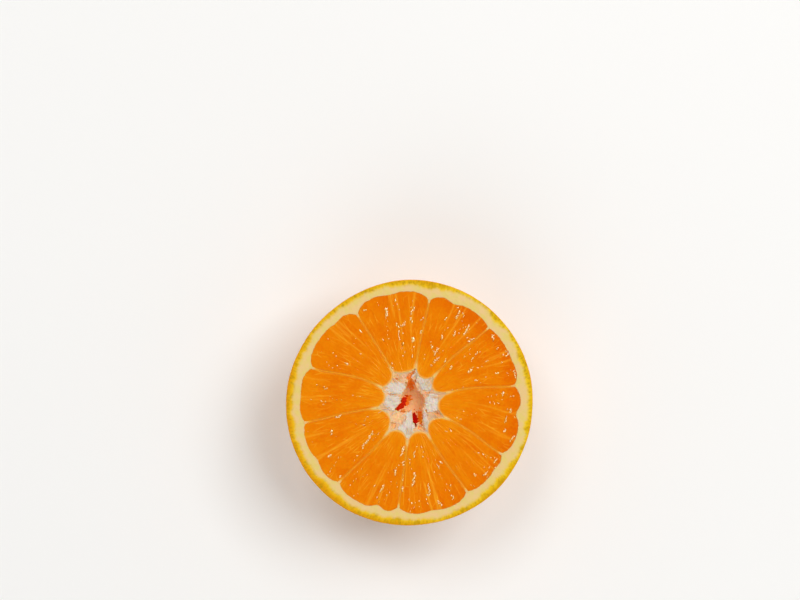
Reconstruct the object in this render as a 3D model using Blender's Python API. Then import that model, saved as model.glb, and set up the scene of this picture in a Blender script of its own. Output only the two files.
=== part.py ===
# Half a sweet orange, cut across its middle, lying on its rounded skin with the cut face up.
#
# The fruit is one grown piece, so it is one solid. It starts as a globe. The globe's lower rings become the skin, its
# equator becomes the cut edge, and its upper rings lie on the cut face: peel, ten segments with the membranes between
# them, the white core, and the hollow that runs down into the core. X points right and Y up as the cut face is seen.

import math

import bmesh
import bpy
from mathutils import Vector

MM = 0.001

# The outside of the half
FACE_RADIUS = 38.0 * MM
HALF_HEIGHT = 36.0 * MM
PRESSED_FLAT = 0.5 * MM
DOME_POWER = 2.15
EDGE_ROUND = 0.4 * MM
DIMPLE_RADIUS = 4.6 * MM
DIMPLE_DEPTH = 2.0 * MM
SCAR_RADIUS = 1.4 * MM

# The skin's unevenness: waves round the fruit as (number of waves, size, turned by degrees)
OUTLINE_WAVES = ((2, 0.30 * MM, 35), (3, 0.16 * MM, 80), (5, 0.07 * MM, 20))
SHOULDER_WAVES = ((3, 0.30 * MM, 200), (4, 0.22 * MM, 65), (7, 0.12 * MM, 10))

# The peel on the cut face
FLAVEDO_THICKNESS = 2.0 * MM
SCALLOP_ROUND = 0.25 * MM

# The pulp sits a little off the middle of the fruit.
PULP_CENTRE = Vector((0.4 * MM, -0.2 * MM))
PULP_DROP = 0.5 * MM
PULP_SWELL = 0.35 * MM
PULP_CROWN_POWER = 0.5
SAC_RIDGE = 0.14 * MM
MEMBRANE_THICKNESS = 0.9 * MM
MEMBRANE_DROP = 0.1 * MM

# Each membrane: its angle at the pith and at the core in degrees, and how far out its two ends are.
MEMBRANES = (
    (10.0, 17.0, 32.4 * MM, 11.4 * MM),
    (44.5, 50.0, 33.5 * MM, 10.8 * MM),
    (80.0, 82.5, 32.4 * MM, 11.1 * MM),
    (121.0, 119.5, 32.1 * MM, 11.4 * MM),
    (160.0, 151.0, 32.4 * MM, 10.2 * MM),
    (190.0, 187.0, 33.1 * MM, 10.5 * MM),
    (227.5, 231.0, 32.8 * MM, 11.1 * MM),
    (263.0, 264.5, 32.1 * MM, 11.4 * MM),
    (302.5, 299.0, 32.0 * MM, 10.5 * MM),
    (331.0, 338.0, 31.8 * MM, 11.1 * MM),
)

# Each segment after its membrane: how far its two ends are out, and where across it the pith dents it and how deep.
SEGMENTS = (
    (34.1 * MM, 8.2 * MM, 0.40, 0.2 * MM),
    (34.4 * MM, 8.7 * MM, 0.62, 0.9 * MM),
    (34.8 * MM, 9.9 * MM, 0.51, 0.5 * MM),
    (34.6 * MM, 9.3 * MM, 0.31, 0.5 * MM),
    (34.3 * MM, 8.2 * MM, 0.55, 0.2 * MM),
    (34.4 * MM, 7.7 * MM, 0.56, 0.8 * MM),
    (34.3 * MM, 9.0 * MM, 0.69, 1.4 * MM),
    (34.0 * MM, 8.8 * MM, 0.46, 0.5 * MM),
    (33.1 * MM, 8.0 * MM, 0.68, 0.4 * MM),
    (34.0 * MM, 8.3 * MM, 0.60, 1.4 * MM),
)
DENT_WIDTH = 0.10
OUTER_CORNER_POWER = 5.0
INNER_CORNER_POWER = 2.6
SAC_RIDGES_ACROSS = 3
SAC_RIDGE_LEAN = 2.0

# The core and its hollow. The lip of the hollow is given as (degrees, distance) round the hollow's own middle.
CORE_DROP = 0.25 * MM
CORE_EDGE_ROUND = 0.3 * MM
CORE_LUMP = 0.2 * MM
CORE_LUMPS_ROUND = 5
CORE_SAG_POWER = 3
HOLLOW_CENTRE = Vector((0.8 * MM, 0.9 * MM))
HOLLOW_LIP = (
    (0, 3.3 * MM),
    (40, 3.1 * MM),
    (72, 3.6 * MM),
    (97, 6.6 * MM),
    (122, 4.2 * MM),
    (160, 3.6 * MM),
    (197, 4.9 * MM),
    (232, 3.2 * MM),
    (276, 6.3 * MM),
    (305, 4.2 * MM),
    (335, 3.6 * MM),
)
HOLLOW_LIP_DROP = 0.9 * MM
HOLLOW_DEPTH = 6.5 * MM
# The hollow's walls, as (share of its depth, share of its width at the lip, share of the lip's lobes that is left)
HOLLOW_WALLS = ((0.18, 0.96, 0.95), (0.45, 0.90, 0.70), (0.75, 0.84, 0.45), (0.94, 0.60, 0.20))

# How finely the globe is divided
PLACES_PER_SEGMENT = 12
DOME_RINGS = 15
PULP_RINGS = 8
CORE_RINGS = 2
DIMPLE_RINGS = 2
SHARP_FROM = 35.0

SKIN, FLAVEDO, PITH, PULP, MEMBRANE = range(5)
# Name, colour, roughness
FINISHES = (
    ("orange_skin", (0.80, 0.33, 0.01), 0.35),
    ("cut_flavedo", (0.78, 0.44, 0.02), 0.45),
    ("white_pith", (0.83, 0.62, 0.28), 0.70),
    ("orange_pulp", (0.84, 0.24, 0.005), 0.20),
    ("membrane", (0.87, 0.38, 0.05), 0.40),
)


def between(low, high, share):
    return low + (high - low) * share


def eased(share):
    share = min(max(share, 0.0), 1.0)
    return share * share * (3.0 - 2.0 * share)


def waves(angle, terms):
    """The sum of some waves round the fruit, at an angle in degrees."""
    return sum(size * math.cos(math.radians(count * (angle - turn))) for count, size, turn in terms)


def round_the_lip(angle):
    """How far the hollow's lip is from the hollow's middle, at an angle in degrees."""
    turned = angle % 360.0
    ends = HOLLOW_LIP + ((HOLLOW_LIP[0][0] + 360, HOLLOW_LIP[0][1]),)
    for (start, near), (end, far) in zip(ends, ends[1:]):
        if start <= turned <= end:
            return between(near, far, eased((turned - start) / (end - start)))


def at_angle(distance, angle, height, centre=Vector((0.0, 0.0))):
    """A point at a distance from a centre and an angle in degrees."""
    turned = math.radians(angle)
    return Vector((centre.x + distance * math.cos(turned), centre.y + distance * math.sin(turned), height))


def segment_of(column):
    """The segment that a column of the globe lies in, and the place in it. Place 0 is on the segment's first membrane."""
    return divmod(column % (len(SEGMENTS) * PLACES_PER_SEGMENT), PLACES_PER_SEGMENT)


def across(place):
    """How far across its segment's pulp a place lies, from 0 to 1. Both membranes' feet are at the ends."""
    return max(place - 1, 0) / (PLACES_PER_SEGMENT - 2)


def both_membranes(segment):
    following = (segment + 1) % len(MEMBRANES)
    turned = 360.0 if following == 0 else 0.0
    rim, tip, outer, inner = MEMBRANES[following]
    return MEMBRANES[segment], (rim + turned, tip + turned, outer, inner)


def membrane_angle(membrane, distance):
    """A membrane bows as it runs from the core out to the pith."""
    rim, tip, outer, inner = membrane
    return between(tip, rim, eased((distance - inner) / (outer - inner)))


def pulp_angle(column, distance):
    """The angle round the pulp's centre of a column, at a distance from it."""
    segment, place = segment_of(column)
    first, second = (membrane_angle(m, distance) for m in both_membranes(segment))
    if place == 0:
        return first
    foot = math.degrees(MEMBRANE_THICKNESS / 2 / distance)
    return between(first + foot, second - foot, across(place))


def rim_angle(column):
    """The angle of a column on the peel, where a segment's columns stand evenly apart."""
    segment, place = segment_of(column)
    first, second = both_membranes(segment)
    return between(first[0], second[0], place / PLACES_PER_SEGMENT)


def nearer_membrane(segment, share):
    first, second = both_membranes(segment)
    return first if share < 0.5 else second


def pulp_outer_end(column):
    """The pulp's outer outline: a segment bulges into the pith, has round corners and a dent."""
    segment, place = segment_of(column)
    share = 0.0 if place == 0 else across(place)
    outer, _, dent_at, dent = SEGMENTS[segment]
    corner = abs(2.0 * share - 1.0) ** OUTER_CORNER_POWER
    dented = dent * math.exp(-(((share - dent_at) / DENT_WIDTH) ** 2))
    return between(outer, nearer_membrane(segment, share)[2], corner) - dented * (1.0 - corner)


def pulp_inner_end(column):
    """The pulp's inner outline: round ends, with the core's white points between them."""
    segment, place = segment_of(column)
    share = 0.0 if place == 0 else across(place)
    corner = abs(2.0 * share - 1.0) ** INNER_CORNER_POWER
    return between(SEGMENTS[segment][1], nearer_membrane(segment, share)[3], corner)


def dimple(share):
    """A ring of the dimple at the fruit's base, from 0 at its scar to 1 at the flat spot that the half rests on."""
    distance = between(SCAR_RADIUS, DIMPLE_RADIUS, share)
    return lambda column: at_angle(distance, rim_angle(column), DIMPLE_DEPTH * (1.0 - eased(share)))


def skin(share):
    """A ring of the skin, from 0 at the flat spot to 1 at the cut edge."""
    full_height = HALF_HEIGHT + PRESSED_FLAT
    steepest = math.asin((HALF_HEIGHT / full_height) ** (DOME_POWER / 2.0))
    turned = between(steepest, math.asin((EDGE_ROUND / full_height) ** (DOME_POWER / 2.0)), share)
    height = HALF_HEIGHT - full_height * math.sin(turned) ** (2.0 / DOME_POWER)
    distance = FACE_RADIUS * math.cos(turned) ** (2.0 / DOME_POWER)

    def ring(column):
        angle = rim_angle(column)
        shoulder = math.sin(math.pi * share) ** 2 * waves(angle, SHOULDER_WAVES)
        return at_angle(distance + eased(share) * waves(angle, OUTLINE_WAVES) + shoulder, angle, height)

    return ring


def peel_on_face(inwards):
    """A ring of the cut peel, a distance in from the skin."""

    def ring(column):
        angle = rim_angle(column)
        return at_angle(FACE_RADIUS + waves(angle, OUTLINE_WAVES) - inwards, angle, HALF_HEIGHT)

    return ring


def pith_scallop(column):
    """The pith's inner edge, which stands above the pulp."""
    distance = pulp_outer_end(column) + SCALLOP_ROUND
    return at_angle(distance, pulp_angle(column, distance), HALF_HEIGHT, PULP_CENTRE)


def pulp(share):
    """A ring of the pulp, from 0 at the pith to 1 at the core. Its juice sacs lie in ridges that run inwards."""

    def ring(column):
        segment, place = segment_of(column)
        distance = between(pulp_outer_end(column), pulp_inner_end(column), share)
        if place == 0:
            height = HALF_HEIGHT - MEMBRANE_DROP
        else:
            middle = (math.sin(math.pi * across(place)) * math.sin(math.pi * share)) ** PULP_CROWN_POWER
            turned = 2.0 * math.pi * SAC_RIDGES_ACROSS * across(place)
            ridges = math.cos(turned + SAC_RIDGE_LEAN * share + segment)
            height = HALF_HEIGHT - PULP_DROP + middle * (PULP_SWELL + SAC_RIDGE * ridges)
        return at_angle(distance, pulp_angle(column, distance), height, PULP_CENTRE)

    return ring


def hollow(depth, width, lobes):
    """A ring of the hollow at a share of its depth, by the shares of the lip's width and lobes that are left there."""
    round_width = sum(distance for _, distance in HOLLOW_LIP) / len(HOLLOW_LIP)

    def ring(column):
        angle = rim_angle(column)
        distance = width * between(round_width, round_the_lip(angle), lobes)
        drop = between(HOLLOW_LIP_DROP, HOLLOW_DEPTH, depth)
        return at_angle(distance, angle, HALF_HEIGHT - drop, HOLLOW_CENTRE)

    return ring


def core(share):
    """A ring of the white core, from 0 at its star-shaped edge to 1 at the hollow's lip."""
    lip = hollow(0.0, 1.0, 1.0)

    def ring(column):
        distance = pulp_inner_end(column) - CORE_EDGE_ROUND
        edge = at_angle(distance, pulp_angle(column, distance), HALF_HEIGHT, PULP_CENTRE)
        point = edge.lerp(lip(column), share)
        drop = between(CORE_DROP, HOLLOW_LIP_DROP / 2.0, share ** CORE_SAG_POWER)
        lump = CORE_LUMP * math.cos(math.radians(CORE_LUMPS_ROUND * rim_angle(column)))
        point.z = HALF_HEIGHT - drop - lump * math.sin(math.pi * share) ** 2
        return point

    return ring


def shares(count):
    """Even steps between 0 and 1, without the ends."""
    return [step / (count + 1) for step in range(1, count + 1)]


def rings():
    """Every ring between the globe's two poles, from the dimple up over the skin and in over the face to the hollow."""
    made = [(dimple(0.0), SKIN)]
    made += [(dimple(share), SKIN) for share in shares(DIMPLE_RINGS)]
    made += [(dimple(1.0), SKIN), (skin(0.0), SKIN)]
    made += [(skin(share), SKIN) for share in shares(DOME_RINGS)]
    made += [(skin(1.0), SKIN), (peel_on_face(EDGE_ROUND), SKIN)]
    made += [(peel_on_face(FLAVEDO_THICKNESS), FLAVEDO), (pith_scallop, PITH), (pulp(0.0), PITH)]
    made += [(pulp(share), PULP) for share in shares(PULP_RINGS)]
    made += [(pulp(1.0), PULP), (core(0.0), PITH)]
    made += [(core(share), PITH) for share in shares(CORE_RINGS)]
    made += [(hollow(0.0, 1.0, 1.0), PITH)]
    made += [(hollow(*wall), PITH) for wall in HOLLOW_WALLS]
    return made


def shaped_globe(made):
    """A globe with each of its points moved to its place on the half."""
    columns = len(SEGMENTS) * PLACES_PER_SEGMENT
    globe = bmesh.new()
    bmesh.ops.create_uvsphere(globe, u_segments=columns, v_segments=len(made) + 1, radius=1.0)
    levels, turns = {}, {}
    for vert in globe.verts:
        longitude = math.degrees(math.atan2(vert.co.y, vert.co.x))
        latitude = math.degrees(math.asin(max(-1.0, min(1.0, vert.co.z))))
        levels[vert] = round((latitude / 180.0 + 0.5) * (len(made) + 1))
        turns[vert] = round(longitude / 360.0 * columns)
    for vert, level in levels.items():
        if level == 0:
            vert.co = Vector((0.0, 0.0, DIMPLE_DEPTH))
        elif level > len(made):
            vert.co = at_angle(0.0, 0.0, HALF_HEIGHT - HOLLOW_DEPTH, HOLLOW_CENTRE)
        else:
            vert.co = made[level - 1][0](turns[vert])
    for face in globe.faces:
        face.material_index = finish_of(face, made, levels, turns)
    return globe


def finish_of(face, made, levels, turns):
    """A face takes its outer ring's finish, and the faces beside a membrane's crest are the membrane's."""
    level = max(levels[vert] for vert in face.verts)
    finish = made[min(level, len(made)) - 1][1]
    on_crest = any(segment_of(turns[vert])[1] == 0 for vert in face.verts)
    return MEMBRANE if finish == PULP and on_crest else finish


def finish_material(name, colour, roughness):
    material = bpy.data.materials.new(name)
    material.use_nodes = True
    shader = material.node_tree.nodes["Principled BSDF"]
    shader.inputs["Base Color"].default_value = (*colour, 1.0)
    shader.inputs["Roughness"].default_value = roughness
    shader.inputs["Metallic"].default_value = 0.0
    return material


def clear_scene():
    for existing in list(bpy.data.objects):
        bpy.data.objects.remove(existing, do_unlink=True)


def main():
    clear_scene()
    collection = bpy.data.collections.new("orange_half")
    bpy.context.scene.collection.children.link(collection)
    mesh = bpy.data.meshes.new("orange_half")
    globe = shaped_globe(rings())
    bmesh.ops.triangulate(globe, faces=globe.faces, quad_method="SHORT_EDGE")
    bmesh.ops.recalc_face_normals(globe, faces=globe.faces)
    globe.to_mesh(mesh)
    globe.free()
    for finish in FINISHES:
        mesh.materials.append(finish_material(*finish))
    mesh.shade_smooth()
    mesh.set_sharp_from_angle(angle=math.radians(SHARP_FROM))
    half = bpy.data.objects.new("orange_half", mesh)
    collection.objects.link(half)


main()
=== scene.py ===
import math

import bmesh
import bpy
import numpy as np
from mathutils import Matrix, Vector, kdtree, noise


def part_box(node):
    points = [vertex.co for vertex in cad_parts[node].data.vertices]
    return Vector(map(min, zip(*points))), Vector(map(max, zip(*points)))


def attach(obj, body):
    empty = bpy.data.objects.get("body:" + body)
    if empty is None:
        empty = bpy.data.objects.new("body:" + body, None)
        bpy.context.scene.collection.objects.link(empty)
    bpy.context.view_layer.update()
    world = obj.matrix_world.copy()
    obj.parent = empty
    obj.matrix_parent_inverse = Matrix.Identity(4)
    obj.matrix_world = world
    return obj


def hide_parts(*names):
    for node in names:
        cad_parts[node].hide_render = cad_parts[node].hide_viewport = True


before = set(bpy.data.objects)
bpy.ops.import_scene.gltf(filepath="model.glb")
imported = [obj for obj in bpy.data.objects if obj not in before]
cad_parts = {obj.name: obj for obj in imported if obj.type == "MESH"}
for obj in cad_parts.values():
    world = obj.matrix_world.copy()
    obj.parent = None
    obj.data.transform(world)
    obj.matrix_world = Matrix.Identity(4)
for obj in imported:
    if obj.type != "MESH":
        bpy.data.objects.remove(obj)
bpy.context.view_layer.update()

# Peel
# The rind of a sweet orange is one grown bowl about 4 mm thick: a waxy skin over a yellow layer full of oil
# glands, and white pith inside. A knife cut it square across the fruit's middle, and the scar of its stem
# is in the dimple below.

MM = 0.001
HALF_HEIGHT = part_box("orange_half")[1].z
FACE_RADIUS = 38.0 * MM
PRESSED_FLAT = 0.5 * MM
DOME_POWER = 2.15
EDGE_ROUND = 0.4 * MM
DIMPLE_RADIUS = 4.6 * MM
DIMPLE_DEPTH = 2.0 * MM
SCAR_RADIUS = 1.4 * MM

# The fruit's unevenness, as waves round it: how many, how high, and turned by how many degrees
OUTLINE_WAVES = ((2, 0.30 * MM, 35), (3, 0.16 * MM, 80), (5, 0.07 * MM, 20))
SHOULDER_WAVES = ((3, 0.30 * MM, 200), (4, 0.22 * MM, 65), (7, 0.12 * MM, 10))
YELLOW_WAVES = ((1, 0.15 * MM, 235), (2, 0.06 * MM, 100))
# The uneven inner edge of the yellow layer, and how deep under the skin the rind's colours are graded
YELLOW_UNEVEN = 0.75 * MM
YELLOW_STREAKS = 0.3 * MM
STREAK_WIDTH = 0.45 * MM
BULGE_WIDTHS = (5.0 * MM, 1.7 * MM)
RIND_SHOWN = 5.0 * MM
# The side where the rind is more lemon, and where the flesh by the rim is darker and redder, partly a
# painted shade, in degrees
LEMON_AND_SHADED_RIM_SIDE = 15.0
# Where the yellow layer reaches further into the pith, or less far: the angle, how far in millimetres, and
# over how many degrees each way
YELLOW_BULGES = np.array((
    (3, -0.4, 7), (27, 0.5, 7), (46, 0.5, 3), (52, -0.6, 20), (62, -0.35, 6), (78, 0.7, 4), (92, 0.2, 5),
    (110, -0.6, 8), (132, -0.7, 6), (146, -0.5, 8), (196, 0.35, 12), (224, 0.85, 8), (260, 0.6, 5),
    (282, -0.4, 10), (313, 0.85, 7), (343, -1.0, 8), (350, 0.6, 3),
)) * (1.0, MM, 1.0)

# The pulp sits a little off the fruit's middle. Each membrane has its angle at the pith and at the core in
# degrees, and how far out its two ends are in millimetres. The segment after it has how far out its own two
# ends are, where across it the pith dents it, and how deep.
PULP_CENTRE = (0.4 * MM, -0.2 * MM)
MEMBRANES = np.array((
    (10.0, 17.0, 32.4, 11.4), (44.5, 50.0, 33.5, 10.8), (80.0, 82.5, 32.4, 11.1),
    (121.0, 119.5, 32.1, 11.4), (160.0, 151.0, 32.4, 10.2), (190.0, 187.0, 33.1, 10.5),
    (227.5, 231.0, 32.8, 11.1), (263.0, 264.5, 32.1, 11.4), (302.5, 299.0, 32.0, 10.5),
    (331.0, 338.0, 31.8, 11.1),
)) * (1.0, 1.0, MM, MM)
SEGMENTS = np.array((
    (34.1, 8.2, 0.40, 0.2), (34.4, 8.7, 0.62, 0.9), (34.8, 9.9, 0.51, 0.5), (34.6, 9.3, 0.31, 0.5),
    (34.3, 8.2, 0.55, 0.2), (34.4, 7.7, 0.56, 0.8), (34.3, 9.0, 0.69, 1.4), (34.0, 8.8, 0.46, 0.5),
    (33.1, 8.0, 0.68, 0.4), (34.0, 8.3, 0.60, 1.4),
)) * (MM, MM, 1.0, MM)
DENT_WIDTH = 0.10
OUTER_CORNER_POWER = 5.0
MEMBRANE_WIDTH = 0.32 * MM
RAGGED_PITH = 0.14 * MM
RAGGED_LENGTH = 1.5 * MM

# How finely the peel is modelled, and the hidden inside of its bowl
SKIN_CELLS = 264
CUT_RINGS = 15
BOWL_RINGS = 7
PEEL_THICKNESS = 4.0 * MM
PITH_WALL = 1.2 * MM
PITH_EDGE = (0.06 * MM, 0.4 * MM, PITH_WALL)
BOWL_CLEAR = 0.3 * MM

# The skin's pores, over the oil glands, and its soft unevenness
PORE_KNOTS = 3
PORE_RADIUS = 0.34 * MM
PORE_DEPTH = 0.07 * MM
SKIN_LUMP = 0.10 * MM
SKIN_LUMP_SIZE = 7.0 * MM
SKIN_SPECKS = 26

# The oil glands that the knife opened, in a row just under the skin
OPEN_GLANDS = 250
GLAND_DEEP = 0.75 * MM
GLAND_WIDE = 0.26 * MM
GLAND_LONG = 0.42 * MM
GLAND_PIT = 0.09 * MM
PITH_SPONGE = 0.045 * MM
PITH_SPONGE_SIZE = 0.7 * MM


def between(low, high, share):
    return low + (high - low) * share


def evenly(count):
    """Shares from 0 to 1, in a number of even steps."""
    return np.linspace(0.0, 1.0, count + 1)


def held(share):
    return np.clip(share, 0.0, 1.0)


def eased(share):
    share = held(share)
    return share * share * (3.0 - 2.0 * share)


def hump(away):
    """1 in the middle, falling softly to 0 on both sides."""
    return np.exp(-(away**2))


def towards(angle, side):
    """1 at an angle round the fruit, falling to 0 across from it."""
    return 0.5 + 0.5 * np.cos(np.radians(angle - side))


def waves(angle, terms):
    return sum(size * np.cos(np.radians(count * (angle - turn))) for count, size, turn in terms)


def turned_by(angle, start):
    """The angle from a start, between -180 and 180 degrees."""
    return (angle - start + 180.0) % 360.0 - 180.0


def lumps(points, size):
    """Smooth unevenness from -1 to 1 at each of some points, in lumps of a size."""
    heights = [noise.noise(point) for point in (points / size).reshape(-1, 3).tolist()]
    return np.array(heights).reshape(points.shape[:-1])


def rough(points, size, finer=0.7):
    """Lumps of a size, with a share of lumps 2.5 times finer on them."""
    return lumps(points, size) + finer * lumps(points, size / 2.5)


def place(distance, angle, height, centre=(0.0, 0.0)):
    """Points at a distance from a centre and an angle in degrees."""
    turned = np.radians(angle)
    along_x = centre[0] + distance * np.cos(turned)
    along_y = centre[1] + distance * np.sin(turned)
    return np.stack(np.broadcast_arrays(along_x, along_y, height), axis=-1)


def outer_end(segment, across):
    """How far out a segment's pulp reaches. It bulges into the pith, and has round corners and a dent."""
    outer, _, dent_at, dent = np.moveaxis(SEGMENTS[segment], -1, 0)
    nearer = MEMBRANES[(segment + (across >= 0.5)) % len(MEMBRANES), 2]
    corner = np.abs(2.0 * across - 1.0) ** OUTER_CORNER_POWER
    dented = dent * hump((across - dent_at) / DENT_WIDTH)
    return between(outer, nearer, corner) - dented * (1.0 - corner)


def ragged(angle):
    """How much further out than its outline the pulp's uneven edge reaches, at an angle round it."""
    return RAGGED_PITH * rough(place(FACE_RADIUS, angle, 0.0), RAGGED_LENGTH)


def pith_edge(angle):
    """How far from the pulp's centre the pith begins, at an angle round it."""
    first = MEMBRANES[0, 0]
    turned = (angle - first) % 360.0 + first
    rims = np.append(MEMBRANES[:, 0], first + 360.0)
    segment = np.clip(np.searchsorted(rims, turned, side="right") - 1, 0, len(SEGMENTS) - 1)
    foot = np.degrees(MEMBRANE_WIDTH / 2.0 / FACE_RADIUS)
    across = (turned - rims[segment] - foot) / (rims[segment + 1] - rims[segment] - 2.0 * foot)
    return outer_end(segment, held(across)) + ragged(angle)


def steepness(depth):
    """The turn along the dome's curve at a depth under the cut face, in radians."""
    return math.asin((depth / (HALF_HEIGHT + PRESSED_FLAT)) ** (DOME_POWER / 2.0))


def skin_points(outwards, angle):
    """Points of the skin, from 0 at the middle of the base to 1 at the cut, evenly spread over it."""
    steepest, shallowest = steepness(HALF_HEIGHT), steepness(EDGE_ROUND)
    turned = between(math.pi / 2.0, shallowest, np.arccos(1.0 - outwards**2) / (math.pi / 2.0))
    sunk = (HALF_HEIGHT + PRESSED_FLAT) * np.sin(turned) ** (2.0 / DOME_POWER)
    distance = FACE_RADIUS * np.maximum(np.cos(turned), 0.0) ** (2.0 / DOME_POWER)
    share = held((steepest - turned) / (steepest - shallowest))
    dimple = DIMPLE_DEPTH * (1.0 - eased((distance - SCAR_RADIUS) / (DIMPLE_RADIUS - SCAR_RADIUS)))
    shoulder = np.sin(np.pi * share) ** 2 * waves(angle, SHOULDER_WAVES)
    height = np.maximum(HALF_HEIGHT - sunk, 0.0) + dimple
    return place(distance + eased(share) * waves(angle, OUTLINE_WAVES) + shoulder, angle, height)


def bowl_height(distance):
    """The height of the rind's inner side, under the pulp, at a distance from the middle."""
    share = held(distance / (FACE_RADIUS - PEEL_THICKNESS))
    sunk = (1.0 - share**DOME_POWER) ** (1.0 / DOME_POWER)
    return HALF_HEIGHT - np.maximum((HALF_HEIGHT - PEEL_THICKNESS) * sunk, PITH_WALL)


def round_grid(cells):
    """A square net drawn out to a disc: how far out each knot is, from 0 to 1, and its angle in degrees."""
    steps = np.linspace(-1.0, 1.0, cells + 1)
    first, second = np.meshgrid(steps, steps, indexing="ij")
    wide = np.abs(first) >= np.abs(second)
    longer = np.where(wide, first, second)
    shorter = np.where(wide, second, first)
    ratio = np.divide(shorter, longer, out=np.zeros_like(longer), where=longer != 0.0)
    angle = np.where(wide, 45.0 * ratio, 90.0 - 45.0 * ratio) + np.where(longer < 0.0, 180.0, 0.0)
    return np.abs(longer), angle


def numbered(net, start=0):
    """The knots of a net of points, numbered row by row."""
    return start + np.arange(net.shape[0] * net.shape[1]).reshape(net.shape[:2])


def net_faces(knots):
    """The faces of a net, from the numbers of its knots in rows."""
    corners = (knots[:-1, :-1], knots[1:, :-1], knots[1:, 1:], knots[:-1, 1:])
    return np.stack(corners, axis=-1).reshape(-1, 4)


def net_edge(knots):
    """The knots round the edge of a net, in order."""
    return np.concatenate((knots[:-1, 0], knots[-1, :-1], knots[:0:-1, -1], knots[0, :0:-1]))


def closed_rows(rows):
    """Rows of knots that each run in a ring, with the first knot of each repeated at its end."""
    return np.concatenate((rows, rows[:, :1]), axis=1)


def fan_faces(ring, middle):
    """The faces that close a ring of knots onto one knot."""
    following = np.roll(ring, -1)
    return np.stack((ring, following, np.full_like(ring, middle)), axis=-1)


def added(name, data):
    """A new object in the scene."""
    thing = bpy.data.objects.new(name, data)
    bpy.context.scene.collection.objects.link(thing)
    return thing


def piece_of(name, points, faces, finishes, facts):
    """A closed, smooth piece that faces out. faces holds a list of nets for each finish."""
    mesh = bpy.data.meshes.new(name)
    mesh.from_pydata(points.tolist(), [], [face for nets in faces for net in nets for face in net.tolist()])
    for finish in finishes:
        mesh.materials.append(finish)
    finish_numbers = [number for number, nets in enumerate(faces) for net in nets for _ in net]
    mesh.polygons.foreach_set("material_index", finish_numbers)
    for word, values in facts.items():
        mesh.attributes.new(word, "FLOAT", "POINT").data.foreach_set("value", values.astype(np.float32))
    turned_out = bmesh.new()
    turned_out.from_mesh(mesh)
    bmesh.ops.recalc_face_normals(turned_out, faces=turned_out.faces)
    turned_out.to_mesh(mesh)
    turned_out.free()
    mesh.shade_smooth()
    return added(name, mesh)


def points_of(piece, word="co"):
    """A piece's points, or the surface's normals at them."""
    points = np.empty((len(piece.data.vertices), 3), np.float32)
    piece.data.vertices.foreach_get(word, points.ravel())
    return points


def raise_points(piece, heights):
    """Moves each point of a piece out along the surface's normal."""
    raised = points_of(piece) + points_of(piece, "normal") * heights[:, None]
    piece.data.vertices.foreach_set("co", raised.astype(np.float32).ravel())
    piece.data.update()


def nearest(points, centres):
    """How far each point is from the nearest of some centres, and which centre that is."""
    tree = kdtree.KDTree(len(centres))
    for number, centre in enumerate(centres.tolist()):
        tree.insert(centre, number)
    tree.balance()
    found = [tree.find(point)[1:] for point in points.tolist()]
    numbers, distances = zip(*found)
    return np.array(distances), np.array(numbers)


def ranged(tree, source, low, high, to_low, to_high):
    """A number brought from one range to another, and held inside it."""
    node = tree.nodes.new("ShaderNodeMapRange")
    for word, value in (("From Min", low), ("From Max", high), ("To Min", to_low), ("To Max", to_high)):
        node.inputs[word].default_value = value
    tree.links.new(source, node.inputs["Value"])
    return node.outputs["Result"]


# The places of the colours among a Mix node's sockets, as numbers and vectors have the same names
COLOUR_SOCKETS = slice(6, 8)
COLOUR_OUTPUT = 2


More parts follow.
